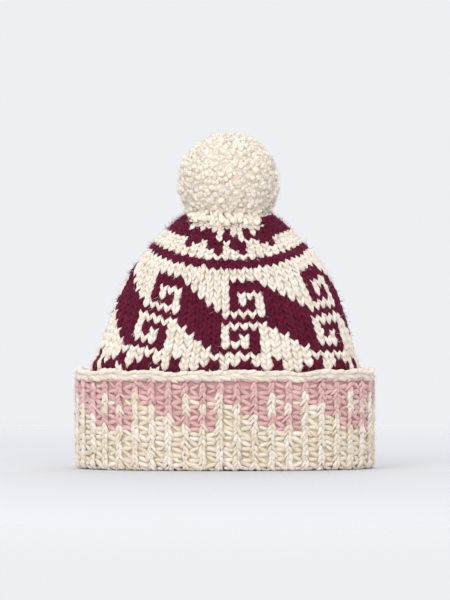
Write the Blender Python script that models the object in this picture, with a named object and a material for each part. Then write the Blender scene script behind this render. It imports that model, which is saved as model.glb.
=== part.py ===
"""A knitted wool hat: a ribbed cuff turned up once, a domed crown and a pompom.

Metres, +Z up, the front towards -Y. The hat stands on the fold of its cuff, open side down.
"""
import random
from bisect import bisect_left
from math import cos, hypot, pi, sin, sqrt, tau

import bmesh
import bpy
from mathutils import Matrix, Vector

# Sizes of the cuff
CUFF_WIDTH = 0.246        # side to side over the ribs
CUFF_DEPTH = 0.146        # front to back over the ribs
CUFF_HEIGHT = 0.0810      # from the fold at the rim to the cast-off edge
CUFF_WALL = 0.0095        # outer layer, ribs included
CUFF_SLACK = 0.0035       # air between the outer layer and the hat inside it
BAND_WALL = 0.0070        # inner layer, which is the wall that the crown goes on from
BAND_HEIGHT = 0.0660      # inner layer, from the rim to the first row of the crown
FOLD_RADIUS = 0.0050      # rounding of the fold at the rim
EDGE_ROLL = 0.0070        # height of the rolled cast-off edge
RIB_DEPTH = 0.0026        # how far the purl columns lie behind the knit columns
RIB_PAIRS = 45            # one knit and one purl column each

# Sizes of the crown
CROWN_HEIGHT = 0.1497     # from its first row to the gathered top
CROWN_WALL = 0.0070
CROWN_LEAN = 0.0030       # the crown stands a little to the right of the cuff
CROWN_WALES = 70          # columns of stitches at the first row
GATHERS = 14              # folds where the top is drawn together
GATHER_DEPTH = 0.0022

# Sizes of the pompom
POMPOM_WIDTH = 0.0845
POMPOM_SINK = 0.0240      # how deep the gathered top of the crown sits in the ball
LOCK_LENGTH = 0.0085      # how far the locks of yarn stand out of the core
LOCK_WIDTH = 0.0126
LOCK_COUNT = 98
LOCK_SIDES = 5
LOCK_SEED = 7

SEAT_GAP = 0.0003         # clearance where two pieces rest on each other

PLAN_POWER = 2.25         # 2 is an ellipse, more is flatter at the front and the back
PLAN_SAMPLES = 2880

# The crown's sections, as shares of its height, of its width and of its depth at the first row
CROWN_SECTIONS = [
    # rise, across, deep
    (0.000, 1.000, 1.000),
    (0.115, 0.996, 1.000),
    (0.225, 0.946, 0.975),
    (0.380, 0.880, 0.930),
    (0.530, 0.806, 0.875),
    (0.640, 0.730, 0.820),
    (0.730, 0.648, 0.750),
    (0.810, 0.562, 0.675),
    (0.870, 0.486, 0.600),
    (0.920, 0.408, 0.515),
    (0.960, 0.318, 0.410),
    (0.985, 0.205, 0.270),
    (1.000, 0.075, 0.110),
]
GATHER_FROM = 0.70        # share of the height where the gathers begin
SEAT_FROM_SECTION = 5     # the crown below this section is far from the pompom

# Colours, linear
COLOURS = {
    "cuff": (0.74, 0.52, 0.50, 1.0),
    "crown": (0.42, 0.20, 0.24, 1.0),
    "pompom": (0.86, 0.80, 0.70, 1.0),
}
WOOL_ROUGHNESS = 0.95


def plan_point(turn):
    """The oval of the plan at unit size; turn 0 is the front, a quarter is the right side."""
    angle = turn * tau
    power = 2.0 / PLAN_POWER
    across = abs(sin(angle)) ** power * (1 if sin(angle) >= 0 else -1)
    deep = abs(cos(angle)) ** power * (1 if cos(angle) >= 0 else -1)
    return across, -deep


def even_plan(count, width, depth):
    """Points of the unit oval that lie evenly spaced once it has this width and depth."""
    samples = [plan_point(step / PLAN_SAMPLES) for step in range(PLAN_SAMPLES + 1)]
    run = [0.0]
    for (x0, y0), (x1, y1) in zip(samples, samples[1:]):
        run.append(run[-1] + hypot((x1 - x0) * width, (y1 - y0) * depth))
    return [samples[bisect_left(run, run[-1] * step / count)] for step in range(count)]


def loft(bm, rings):
    """Quads between each ring of points and the next; returns the rings of vertices."""
    loops = [[bm.verts.new(point) for point in ring] for ring in rings]
    for lower, upper in zip(loops, loops[1:]):
        for here in range(len(lower)):
            after = (here + 1) % len(lower)
            bm.faces.new((lower[here], lower[after], upper[after], upper[here]))
    return loops


def wool(name):
    """A matt material in the piece's main colour."""
    material = bpy.data.materials.new(name + "_wool")
    material.use_nodes = True
    shader = material.node_tree.nodes["Principled BSDF"]
    shader.inputs["Base Color"].default_value = COLOURS[name]
    shader.inputs["Roughness"].default_value = WOOL_ROUGHNESS
    shader.inputs["Metallic"].default_value = 0.0
    return material


def add_object(name, bm):
    """Turn a bmesh into a named object with its faces outwards."""
    bmesh.ops.recalc_face_normals(bm, faces=bm.faces)
    mesh = bpy.data.meshes.new(name)
    bm.to_mesh(mesh)
    bm.free()
    item = bpy.data.objects.new(name, mesh)
    bpy.context.collection.objects.link(item)
    return item


def finish(item, sharp_degrees):
    """Smooth shading and the piece's own material."""
    item.data.shade_smooth()
    item.data.set_sharp_from_angle(angle=sharp_degrees * pi / 180)
    item.data.materials.append(wool(item.name))


def crown_half_sizes():
    """Half width and half depth of the crown's outside at its first row."""
    inset = CUFF_WALL + CUFF_SLACK
    return CUFF_WIDTH / 2 - inset, CUFF_DEPTH / 2 - inset


def crown_base():
    return BAND_HEIGHT + SEAT_GAP


def crown_top():
    return crown_base() + CROWN_HEIGHT


def section_frame(row):
    """Half sizes and height of a crown section, and the outward normal of its profile."""
    half_width, half_depth = crown_half_sizes()

    def profile(index):
        rise, across, deep = CROWN_SECTIONS[index]
        return across * half_width, deep * half_depth, crown_base() + rise * CROWN_HEIGHT

    wide, deep, height = profile(row)
    if row == 0:
        return wide, deep, height, 1.0, 0.0
    below = profile(row - 1)
    above = profile(min(row + 1, len(CROWN_SECTIONS) - 1))
    run = (above[0] + above[1] - below[0] - below[1]) / 2
    climb = above[2] - below[2]
    length = hypot(run, climb)
    return wide, deep, height, climb / length, -run / length


def lean_at(height):
    """Sideways shift of the crown, none at its seat and all of it half way up."""
    share = min(1.0, max(0.0, (height - crown_base()) / (CROWN_HEIGHT / 2)))
    return CROWN_LEAN * share * share * (3 - 2 * share)


def crown_ring(row, inset):
    """One section of the crown, moved in from the outside by a wall or out by a clearance."""
    wide, deep, height, out, up = section_frame(row)
    rise = CROWN_SECTIONS[row][0]
    share = max(0.0, rise - GATHER_FROM) / (1 - GATHER_FROM)
    pull = GATHER_DEPTH * 4 * share * (1 - share)
    points = []
    for step, (across, along) in enumerate(even_plan(CROWN_WALES, *crown_half_sizes())):
        fold = pull * (0.5 - 0.5 * cos(tau * GATHERS * step / CROWN_WALES))
        shrink = inset * out + fold * out
        points.append((
            across * (wide - shrink) + lean_at(height),
            along * (deep - shrink),
            height - inset * up - fold * up,
        ))
    return points


def make_crown():
    """The domed crown: outside from its first row to the top, then inside back down."""
    rows = range(len(CROWN_SECTIONS))
    outside = [crown_ring(row, 0.0) for row in rows]
    inside = [crown_ring(row, CROWN_WALL) for row in rows]
    bm = bmesh.new()
    outer = loft(bm, outside)
    inner = loft(bm, inside)
    for ring in (outer[-1], inner[-1]):
        bm.faces.new(ring)
    count = CROWN_WALES
    for here in range(count):
        after = (here + 1) % count
        bm.faces.new((outer[0][here], outer[0][after], inner[0][after], inner[0][here]))
    item = add_object("crown", bm)
    finish(item, 50)
    return item


def cuff_section():
    """The folded cuff cut through, walked round once: outwards, up and share of the rib."""
    skin = -(CUFF_WALL - RIB_DEPTH)
    band_out = -(CUFF_WALL + CUFF_SLACK)
    band_in = band_out - BAND_WALL
    edge = CUFF_HEIGHT - EDGE_ROLL
    middle = CUFF_HEIGHT / 2
    fold_floor = CUFF_WALL - RIB_DEPTH
    corner = FOLD_RADIUS / 3
    return [
        # outwards, up, rib
        (-FOLD_RADIUS, 0.0, 0.0),
        (-corner, corner, 0.5),
        (0.0, FOLD_RADIUS, 1.0),
        (0.0, middle, 1.0),
        (0.0, edge - EDGE_ROLL / 3, 1.0),
        (0.0, edge + EDGE_ROLL / 4, 0.2),
        (-RIB_DEPTH / 2, CUFF_HEIGHT - EDGE_ROLL / 4, 0.0),
        (skin * 0.4, CUFF_HEIGHT, 0.0),
        (skin, CUFF_HEIGHT - EDGE_ROLL / 5, 0.0),
        (-CUFF_WALL, edge + EDGE_ROLL / 3, 0.0),
        (skin, edge - EDGE_ROLL / 3, 1.0),
        (skin, middle, 1.0),
        (skin, fold_floor + CUFF_SLACK, 0.6),
        (band_out + CUFF_SLACK / 2, fold_floor, 0.0),
        (band_out, fold_floor + CUFF_SLACK, 0.0),
        (band_out, BAND_HEIGHT, 0.0),
        (band_in + RIB_DEPTH, BAND_HEIGHT, 0.0),
        (band_in + RIB_DEPTH, BAND_HEIGHT - EDGE_ROLL, 1.0),
        (band_in + RIB_DEPTH, middle / 2, 1.0),
        (band_in + RIB_DEPTH, FOLD_RADIUS, 0.7),
        (band_in + RIB_DEPTH + corner, corner / 2, 0.0),
        (band_in + RIB_DEPTH + FOLD_RADIUS / 2, 0.0, 0.0),
    ]


def make_cuff():
    """The ribbed band, folded up at the rim, as one closed ring."""
    columns = even_plan(2 * RIB_PAIRS, CUFF_WIDTH, CUFF_DEPTH)
    rings = []
    for outwards, up, rib in cuff_section():
        ring = []
        for step, (across, along) in enumerate(columns):
            reach = outwards - RIB_DEPTH * rib * (step % 2)
            ring.append((across * (CUFF_WIDTH / 2 + reach), along * (CUFF_DEPTH / 2 + reach), up))
        rings.append(ring)
    bm = bmesh.new()
    loops = loft(bm, rings)
    for here in range(len(columns)):
        after = (here + 1) % len(columns)
        bm.faces.new((loops[-1][here], loops[-1][after], loops[0][after], loops[0][here]))
    item = add_object("cuff", bm)
    finish(item, 60)
    return item


def inside_crown(point, margin):
    """Whether a point lies in the crown's outside or within a margin of it."""
    for row in range(len(CROWN_SECTIONS) - 1):
        wide, deep, height, _, _ = section_frame(row)
        wide_above, deep_above, height_above, _, _ = section_frame(row + 1)
        if height <= point.z < height_above + margin:
            share = min(1.0, (point.z - height) / (height_above - height))
            half_width = wide + (wide_above - wide) * share + margin
            half_depth = deep + (deep_above - deep) * share + margin
            across = abs(point.x - lean_at(point.z)) / half_width
            along = abs(point.y) / half_depth
            if across ** PLAN_POWER + along ** PLAN_POWER < 1:
                return True
    return False


def lock_directions():
    """Directions evenly spread over a ball, each a little off its place."""
    dice = random.Random(LOCK_SEED)
    golden = pi * (3 - sqrt(5))
    for step in range(LOCK_COUNT):
        up = 1 - 2 * (step + 0.5) / LOCK_COUNT
        level = sqrt(1 - up * up)
        way = Vector((level * cos(golden * step), level * sin(golden * step), up))
        jitter = Vector([dice.uniform(-0.05, 0.05) for _ in range(3)])
        yield (way + jitter).normalized(), dice.uniform(0.86, 1.0), dice.uniform(0.9, 1.06)


def add_lock(bm, centre, way, length_share, width_share):
    """One lock of yarn: a blunt cone with a round end, standing out of the core."""
    core = POMPOM_WIDTH / 2 - LOCK_LENGTH
    root = core - LOCK_LENGTH * 0.4
    tip = core + LOCK_LENGTH * length_share
    half = LOCK_WIDTH / 2 * width_share
    turn = way.to_track_quat("Z", "Y").to_matrix().to_4x4()
    place = Matrix.Translation(centre) @ turn
    rings = []
    # height along the lock and its half width there
    for along, reach in ((root, 0.62), ((core + tip) / 2, 1.0), (tip - half * 0.3, 0.72)):
        rings.append([
            place @ Vector((half * reach * cos(tau * side / LOCK_SIDES),
                            half * reach * sin(tau * side / LOCK_SIDES), along))
            for side in range(LOCK_SIDES)
        ])
    loops = loft(bm, rings)
    bm.faces.new(loops[0])
    point = bm.verts.new(place @ Vector((0, 0, tip)))
    for side in range(LOCK_SIDES):
        bm.faces.new((loops[-1][side], loops[-1][(side + 1) % LOCK_SIDES], point))


def boolean(item, cutter, operation):
    """Add or take away another solid, and apply it."""
    modifier = item.modifiers.new(operation.lower(), "BOOLEAN")
    modifier.operation = operation
    modifier.solver = "EXACT"
    modifier.use_self = True
    modifier.object = cutter
    reading = bpy.context.evaluated_depsgraph_get()
    mesh = bpy.data.meshes.new_from_object(item.evaluated_get(reading))
    item.modifiers.clear()
    item.data = mesh
    bpy.data.objects.remove(cutter)


def make_pompom():
    """The pompom: locks of yarn fused to a core, hollowed where it sits on the crown."""
    centre = Vector((CROWN_LEAN, 0.0, crown_top() - POMPOM_SINK + POMPOM_WIDTH / 2))
    core = bmesh.new()
    bmesh.ops.create_icosphere(core, subdivisions=3, radius=POMPOM_WIDTH / 2 - LOCK_LENGTH,
                               matrix=Matrix.Translation(centre))
    item = add_object("pompom", core)

    locks = bmesh.new()
    for way, length_share, width_share in lock_directions():
        foot = centre + way * (POMPOM_WIDTH / 2 - LOCK_LENGTH)
        if not inside_crown(foot, LOCK_WIDTH / 4):
            add_lock(locks, centre, way, length_share, width_share)
    boolean(item, add_object("locks", locks), "UNION")

    seat = bmesh.new()
    rows = range(SEAT_FROM_SECTION, len(CROWN_SECTIONS))
    loops = loft(seat, [crown_ring(row, -SEAT_GAP) for row in rows])
    seat.faces.new(loops[0])
    seat.faces.new(loops[-1])
    boolean(item, add_object("seat", seat), "DIFFERENCE")
    finish(item, 40)
    return item


def main():
    for item in list(bpy.data.objects):
        bpy.data.objects.remove(item)
    make_cuff()
    make_crown()
    make_pompom()


main()
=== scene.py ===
from math import atan2, cos, pi, radians, sin, sqrt, tau

import bmesh
import bpy
import numpy as np
from mathutils import Matrix, Vector
from mathutils.bvhtree import BVHTree


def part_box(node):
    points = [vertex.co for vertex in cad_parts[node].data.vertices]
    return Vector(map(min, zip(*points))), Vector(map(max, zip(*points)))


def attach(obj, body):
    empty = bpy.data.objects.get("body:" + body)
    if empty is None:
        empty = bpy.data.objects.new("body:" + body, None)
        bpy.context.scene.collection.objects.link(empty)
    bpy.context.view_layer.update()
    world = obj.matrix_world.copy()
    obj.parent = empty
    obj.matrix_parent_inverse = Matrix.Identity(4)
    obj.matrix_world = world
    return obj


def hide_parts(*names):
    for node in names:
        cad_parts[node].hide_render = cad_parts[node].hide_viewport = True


bl_info = {
    "name": "Knitted pompom hat",
    "version": (1, 0, 0),
    "blender": (4, 5, 0),
    "location": "View3D > Sidebar > Hat",
    "description": "Knits a hat stitch by stitch over its plain solids, with a rib cuff and "
                   "a pompom",
    "category": "Object",
}

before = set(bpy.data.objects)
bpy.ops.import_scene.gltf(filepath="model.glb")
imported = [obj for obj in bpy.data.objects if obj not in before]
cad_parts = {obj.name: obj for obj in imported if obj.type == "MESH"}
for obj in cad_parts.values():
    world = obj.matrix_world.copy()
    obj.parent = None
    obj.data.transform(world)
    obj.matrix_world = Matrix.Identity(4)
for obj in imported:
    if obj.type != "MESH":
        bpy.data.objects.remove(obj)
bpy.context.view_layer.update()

# Charts of the colour work: w wine, r rose, a dot cream. The crown's are read from
# the cuff up, ten stitches to a repeat below the stripe and twenty-five above it. The cuff's is
# read from its cast-off edge down, and every second column of it is purled.
HEM_ROW = "www.ww.ww."
FRET_ROWS = [
    ".www.w..ww",
    "..w..w...w",
    "..........",
    "wwww.....w",
    "...w....ww",
    ".w.w...www",
    ".www..wwww",
    ".....wwwww",
    "wwwwwwwwww",
    ".....wwwww",
    ".www.wwww.",
    ".w.w.www..",
    ".w...ww...",
    ".wwwww....",
    ".wwww.....",
]
STRIPE_ROWS = ["..........", "..........", "wwwwwwwwww", "wwwwwwwwww", ".........."]
ZIGZAG_ROWS = [
    "......w..w...............",
    "..w..ww.ww...w...........",
    "..ww.ww.ww..ww...........",
    "wwwwww.ww.wwwwwwwwwwwwwww",
    "wwwwww.w..w.wwwwwwwwwwwww",
    "w.w.w..w..w..wwwwwwwwwwww",
    "w.............wwwwwwwwwww",
    "w.............wwwwwwwwwww",
    "..............wwwwwwwwwww",
    "..............wwwwwwwwwww",
    "..............wwwwwwwwwww",
]
CUFF_ROWS = [
    "rrrrrrrrrr",
    "rrrrrrrrrr",
    "rrrrrrrrrr",
    ".rrr.rrrrr",
    "..r..rrrrr",
    ".r.r...rrr",
    ".r.r...rrr",
    "rrrr.....r",
    "rrrr.....r",
    ".r.r......",
]

FLOOR_GAP = 0.0003        # the least height of any strand over what the hat rests on
FRET_REPEATS = 7
FRET_START = -1.1         # stitches from the middle of the front to the first column's left edge
ZIGZAG_REPEATS = 2
ZIGZAG_START = -8.25      # the same for the zigzag, in stitches of its own chart
CUFF_START = 4.9          # the same for the cuff, whose repeat goes round nine times
HIDDEN_ROWS = 2           # crown rows that go on down behind the cuff
CROWN_STITCHES = 70
CUFF_STITCHES = 90

# The crown is drawn in: from this row on, the round has so many stitches
DECREASES = [
    # row, stitches
    (-10, 70),
    (16, 62),
    (20, 50),
    (28, 42),
    (30, 35),
    (32, 28),
    (34, 21),
    (36, 14),
]
LAST_ROW = DECREASES[-1][0]


def linear(code):
    """A colour from its sRGB hex value, as Blender's sockets take it."""
    shares = [(code >> shift & 255) / 255 for shift in (16, 8, 0)]
    return tuple(s / 12.92 if s <= 0.04045 else ((s + 0.055) / 1.055) ** 2.4 for s in shares)


def colour_property(name, description, code):
    return bpy.props.FloatVectorProperty(
        name=name, description=description, default=linear(code), subtype="COLOR",
        size=3, min=0.0, max=1.0)


def length_property(name, description, default):
    return bpy.props.FloatProperty(
        name=name, description=description, default=default, unit="LENGTH", precision=5)


class HatYarns(bpy.types.PropertyGroup):
    """Yarn colours mixed at random; the darker ones are also painted shade between the strands."""
    cream: colour_property("Cream", "Undyed cream wool", 0xF1E7DA)
    cream_shade: colour_property("Cream shade", "Cream wool between the strands", 0xE4D6C4)
    wine: colour_property("Wine", "Wine-red wool", 0x6A1D35)
    wine_shade: colour_property("Wine shade", "Wine-red wool between the strands", 0x450F21)
    rose: colour_property("Rose", "Rose wool of the cuff", 0xE7BFBB)
    rose_shade: colour_property("Rose shade", "Rose wool between the strands", 0xC89F9C)
    tuft: colour_property("Pompom", "Cut ends of the pompom", 0xF1E6D8)
    tuft_shade: colour_property("Pompom shade", "Wool between the cut ends", 0xE3D4BE)
    oat: colour_property("Oatmeal", "Oatmeal wool of the cuff's purl columns", 0xEADCC9)
    oat_shade: colour_property("Oatmeal shade", "Oatmeal wool between the strands", 0xDACBB3)


class HatKnit(bpy.types.PropertyGroup):
    """Sizes of the stitches and of the rows."""
    yarn_lift: length_property("Yarn depth", "Middle of the yarn under the solid's skin", 0.0016)
    yarn_half: length_property("Yarn half thickness", "Half the thickness of a strand", 0.0020)
    cuff_row: length_property("Cuff row", "Height of a row of the cuff", 0.0042)
    purl_depth: length_property("Purl depth", "Purl columns behind the knit columns", 0.0010)
    edge_half: length_property("Edge half height", "Half the height of the cast-off edge", 0.0040)
    row_sag: length_property("Row sag", "How much higher rows lie at the sides", 0.0170)
    hair_length: length_property("Fibre length", "Longest loose fibre on the knitting", 0.0060)
    hair_half: length_property("Fibre half thickness", "Half a loose fibre's thickness", 0.00015)
    strand_length: length_property("Pompom strand", "Visible length of a cut strand", 0.0130)


class HatStudio(bpy.types.PropertyGroup):
    """The camera, the floor and the light."""
    backdrop: colour_property("Backdrop", "Pale surroundings", 0xEEF0F4)
    paper: colour_property("Floor paper", "Floor, so that it looks like the backdrop once lit",
                           0xC8C8CB)
    camera_distance: length_property("Camera distance", "From the hat to the camera", 5.0)
    frame_height: length_property("Frame height", "Height of what the picture shows", 0.492)
    look_height: length_property("Look height", "Height shown in the picture's middle", 0.1378)
    camera_tilt: bpy.props.FloatProperty(
        name="Camera elevation", description="Angle of the camera above the level",
        default=radians(0.5), subtype="ANGLE")
    floor_reach: length_property("Floor reach", "Where the floor ends in the backdrop", 1.6)


# Reading the frame

def node_tree(name):
    """A CAD node's faces, for rays to find."""
    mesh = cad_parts[name].data
    return BVHTree.FromPolygons([v.co.copy() for v in mesh.vertices],
                                [tuple(p.vertices) for p in mesh.polygons])


def hit(tree, start, way):
    spot = tree.ray_cast(Vector(start), Vector(way))[0]
    if spot is None:
        raise RuntimeError("a ray misses the frame")
    return spot


class CrownForm:
    """The crown's outside as half sizes by height, with the oval that all heights share."""
    LEVELS = 120
    TURNS = 1440
    EDGE = 0.0004

    def __init__(self):
        tree = node_tree("crown")
        low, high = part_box("crown")
        self.low, self.high = low.z, high.z
        self.heights = np.linspace(low.z + self.EDGE, high.z - self.EDGE, self.LEVELS)
        right = np.array([hit(tree, (1, 0, z), (-1, 0, 0)).x for z in self.heights])
        left = np.array([hit(tree, (-1, 0, z), (1, 0, 0)).x for z in self.heights])
        self.middle = (right + left) / 2
        self.wide = (right - left) / 2
        self.deep = np.array([-hit(tree, (m, -1, z), (0, 1, 0)).y
                              for m, z in zip(self.middle, self.heights)])
        ring = []
        for step in range(self.TURNS):
            angle = tau * step / self.TURNS
            way = Vector((sin(angle), -cos(angle), 0))
            spot = hit(tree, way + Vector((self.middle[0], 0, self.heights[0])), -way)
            ring.append(((spot.x - self.middle[0]) / self.wide[0], spot.y / self.deep[0]))
        self.ring = np.array(ring + ring[:1])

    def oval(self, turn, wide, deep):
        """Unit oval at even steps of its length; turn 0 is the front, a quarter the right."""
        steps = np.hypot(np.diff(self.ring[:, 0]) * wide, np.diff(self.ring[:, 1]) * deep)
        run = np.concatenate(([0], np.cumsum(steps)))
        place = np.mod(turn, 1.0) * run[-1]
        return np.interp(place, run, self.ring[:, 0]), np.interp(place, run, self.ring[:, 1])

    def sizes(self, height):
        """Half width, half depth and middle at these heights."""
        return (np.interp(height, self.heights, values)
                for values in (self.wide, self.deep, self.middle))

    def at_height(self, turn, height):
        """Points of the crown's outside at these turns and heights."""
        across, along = self.oval(turn, self.wide[0], self.deep[0])
        wide, deep, middle = self.sizes(height)
        return np.stack([middle + across * wide, along * deep, height], axis=-1)

    def holds(self, points, margin):
        """Whether points lie inside the crown, or nearer to it than a margin."""
        height = points[..., 2]
        wide, deep, middle = self.sizes(height)
        reach = (np.abs(points[..., 0] - middle) / (wide + margin)) ** 2
        reach += (np.abs(points[..., 1]) / (deep + margin)) ** 2
        return (reach < 1) & (height < self.high + margin)


# Where rows of the crown lie at the middle of the front, as shares of the crown's height: the
# fretwork from row 1, the stripe after row 15, the zigzag, then the rows under the pompom
ROW_LEVELS = [
    # row, share
    (-5, -0.115),
    (1, 0.100),
    (18, 0.655),
    (26, 0.860),
    (38, 0.995),
]
SAG_ROW = 18              # the row whose sides lie highest over its middle
SAG_GROWTH = 1.3          # how late the sides begin to rise over the middle
# The fretwork is pulled up at both sides, by so many metres, more at the left
PULLS = [
    # row, left, right
    (-2, 0.0000, 0.0000),
    (0, 0.0080, 0.0000),
    (2, 0.0090, 0.0005),
    (6, 0.0105, 0.0020),
    (10, 0.0110, 0.0045),
    (13, 0.0060, 0.0050),
    (16, 0.0020, 0.0020),
    (18, 0.0000, 0.0000),
]
# The columns at the right lean outwards on their way down: how much of a turn, and where
DRIFTS = [
    # row, turn
    (0, 0.024),
    (6, 0.021),
    (10, 0.014),
    (14, 0.008),
    (18, 0.000),
]
DRIFT_SHARES = [
    # turn, share
    (-0.50, 0.0),
    (-0.20, 0.0),
    (0.00, 0.3),
    (0.13, 1.0),
    (0.25, 0.4),
    (0.50, 0.0),
]


class CrownKnit:
    """Where each stitch of the crown lies: turn round the hat and row up it."""

    def __init__(self, form, knit):
        self.form = form
        self.knit = knit
        table = np.array(ROW_LEVELS)
        self.rows = table[:, 0]
        self.levels = form.low + table[:, 1] * (form.high - form.low)

    def height(self, turn, row):
        level = np.interp(row, self.rows, self.levels)
        base, peak = np.interp([1, SAG_ROW], self.rows, self.levels)
        grow = np.clip((level - base) / (peak - base), 0, 1) ** SAG_GROWTH
        fade = np.clip((self.form.high - level) / (self.form.high - peak), 0, 1)
        across, _ = self.form.oval(turn, self.form.wide[0], self.form.deep[0])
        sag = self.knit.row_sag * grow * fade * across ** 2
        pulls = np.array(PULLS)
        left, right = (np.interp(row, pulls[:, 0], pulls[:, side]) for side in (1, 2))
        pull = np.where(across < 0, left, right) * across ** 2
        return np.minimum(level + sag + pull, self.form.heights[-1])

    def point(self, turn, row):
        side = np.mod(np.asarray(turn) + 0.5, 1.0) - 0.5
        turn = turn + np.interp(row, *zip(*DRIFTS)) * np.interp(side, *zip(*DRIFT_SHARES))
        return self.form.at_height(turn, self.height(turn, row))


class CuffKnit:
    """The face of the folded cuff from its cast-off edge down, round the fold and up inside."""
    FOLD_STEPS = 8
    FOLD_RISE = 0.55          # height of the fold's curve, as a share of its half width
    FOLD_CURVE = 0.7          # below 1 the fold is flatter underneath than an ellipse
    FLOOR_LIFT = 0.6          # how far the yarn lies over the floor, in half thicknesses

    def __init__(self, form, knit):
        self.form = form
        tree = node_tree("cuff")
        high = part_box("cuff")[1]
        self.wide, self.deep = high.x, high.y
        inner = hit(tree, (0, 0, high.z / 3), (0, -1, 0))
        band = -inner.y - self.deep
        lift = knit.yarn_lift
        top = high.z - 2 * knit.edge_half
        fold = (-band - 2 * lift) / 2
        rise = fold * self.FOLD_RISE
        path = [(-lift, top), (-lift, rise)]
        for step in range(1, self.FOLD_STEPS):
            angle = pi * step / self.FOLD_STEPS
            path.append((-lift - fold * (1 - cos(angle)),
                         rise * (1 - sin(angle) ** self.FOLD_CURVE)))
        path += [(band + lift, rise), (band + lift, form.low + lift)]
        self.path = np.array(path)
        self.path[:, 1] += knit.yarn_half * self.FLOOR_LIFT
        steps = np.hypot(*np.diff(self.path, axis=0).T)
        self.run = np.concatenate(([0], np.cumsum(steps)))
        self.row = knit.cuff_row
        self.rows = int(self.run[-1] / self.row) + 1
        self.outer_rows = int((top - rise) / self.row)

    def point(self, turn, row):
        place = row * self.row
        out = np.interp(place, self.run, self.path[:, 0])
        up = np.interp(place, self.run, self.path[:, 1])
        across, along = self.form.oval(turn, self.wide, self.deep)
        return np.stack([across * (self.wide + out), along * (self.deep + out),
                         up + np.zeros_like(across)], axis=-1)


# Templates of one strand, each from a ball whose rings are moved along a path

KNOTS = 5                 # places along a strand where chance makes it thicker, thinner or bent
KNOT_SPREAD = 0.13
SWAY_SPREAD = 0.045


def strand(sides, rings, path, fullness=0.75, rough=None):
    """A closed strand with round ends. path gives its middle, and two half thickness vectors,
    at a share of its length. rough is a source of chance that makes it thick and thin. Returns
    its points, where each lies on the yarn, and its faces."""
    knots = rough.normal(1.0, KNOT_SPREAD, KNOTS) if rough else np.ones(KNOTS)
    sway = rough.normal(0.0, SWAY_SPREAD, KNOTS) if rough else np.zeros(KNOTS)
    places = np.linspace(0, 1, KNOTS)
    bm = bmesh.new()
    bmesh.ops.create_uvsphere(bm, u_segments=sides, v_segments=rings, radius=1.0)
    lay = []
    for vert in bm.verts:
        share = (vert.co.z + 1) / 2
        angle = atan2(vert.co.y, vert.co.x)
        reach = min(1.0, vert.co.xy.length) ** fullness
        reach *= float(np.interp(share, places, knots))
        middle, first, second = path(share)
        middle.x += float(np.interp(share, places, sway))
        vert.co = middle + (first * cos(angle) + second * sin(angle)) * reach
        lay.append((share, cos(angle), sin(angle)))
    bmesh.ops.recalc_face_normals(bm, faces=bm.faces)
    points = np.array([v.co for v in bm.verts])
    faces = [[v.index for v in face.verts] for face in bm.faces]
    bm.free()
    return points, np.array(lay), faces


# A leg of a knit stitch, as shares of the stitch, with depths in half thicknesses of the yarn
LEG_FOOT, LEG_SPREAD = 0.075, 0.225        # out from the middle at its foot, and further on top
LEG_LOW, LEG_RISE = -0.58, 1.86
LEG_ARCH, LEG_ARCH_END = 0.30, 0.8         # height of its arch, and where along it that ends
LEG_TOP_TUCK, LEG_FOOT_TUCK = 0.95, 0.35
LEG_HALF = 0.285
LEG_THIN, LEG_SWELL = 0.80, 0.28           # its width at the foot, and what it gains on top
LEG_TWIST = 0.10

# A purl bump, in the same way
PURL_HALF_RUN = 0.66
PURL_SLANT, PURL_WAVE = 0.9, 0.14
PURL_DEPTH, PURL_ARCH = -0.8, 0.95
PURL_HALF, PURL_TWIST = 0.49, -0.05

# A link of the cast-off edge
LINK_HALF_RUN = 1.25
LINK_DEPTH, LINK_LIFT = -0.45, 0.6


def leg(side, sides, rings, rough=None):
    """One leg of a knit stitch: from the point of its V up and outwards, its top tucked under."""
    def path(share):
        ease = share * share * (3 - 2 * share)
        arch = LEG_ARCH * sin(pi * min(1.0, share / LEG_ARCH_END))
        middle = Vector((
            side * (LEG_FOOT + LEG_SPREAD * ease),
            LEG_LOW + LEG_RISE * share,
            arch - LEG_TOP_TUCK * share ** 3 - LEG_FOOT_TUCK * (1 - share) ** 3,
        ))
        width = LEG_HALF * (LEG_THIN + LEG_SWELL * share)
        return middle, Vector((width, LEG_TWIST * side, 0)), Vector((0, 0, 1))
    return strand(sides, rings, path, rough=rough)


def purl(slant, sides, rings, rough=None):
    """One purl bump: across the column, tipped one way, its ends sunk in the fabric."""
    def path(share):
        middle = Vector((
            PURL_HALF_RUN * (2 * share - 1),
            0.5 + slant * (share - 0.5) * PURL_SLANT + PURL_WAVE * sin(tau * share),
            PURL_DEPTH + PURL_ARCH * sin(pi * share),
        ))
        return middle, Vector((PURL_TWIST * slant, PURL_HALF, 0)), Vector((0, 0, PURL_ARCH))
    return strand(sides, rings, path, 0.5, rough)


def chain(slant, sides, rings, rough=None):
    """One link of the cast-off edge, a long slanted strand that laps over the next."""
    def path(share):
        middle = Vector((LINK_HALF_RUN * (2 * share - 1), slant * (share - 0.5),
                         LINK_DEPTH + LINK_LIFT * share))
        return middle, Vector((0, 1, 0)), Vector((0, 0, 1))
    return strand(sides, rings, path, 0.6, rough)


def tuft(bend, sides, rings, ease=0.4):
    """One cut strand of the pompom, along Z with its cut end at 1, blunter at a small ease."""
    def path(share):
        along = share ** ease
        middle = Vector((bend * along * along, 0.25 * bend * sin(pi * along), along))
        width = 0.55 + 0.45 * share          # its root is about half as thick as its cut end
        return middle, Vector((width, 0, 0)), Vector((0, width, 0))
    return strand(sides, rings, path, 0.6)


def variants(make, sides, rings, seed):
    """Both hands of a strand, each in three uneven versions."""
    dice = np.random.default_rng(seed)
    return [[make(side, sides, rings, dice) for _ in range(3)] for side in (-1, 1)]


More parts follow.
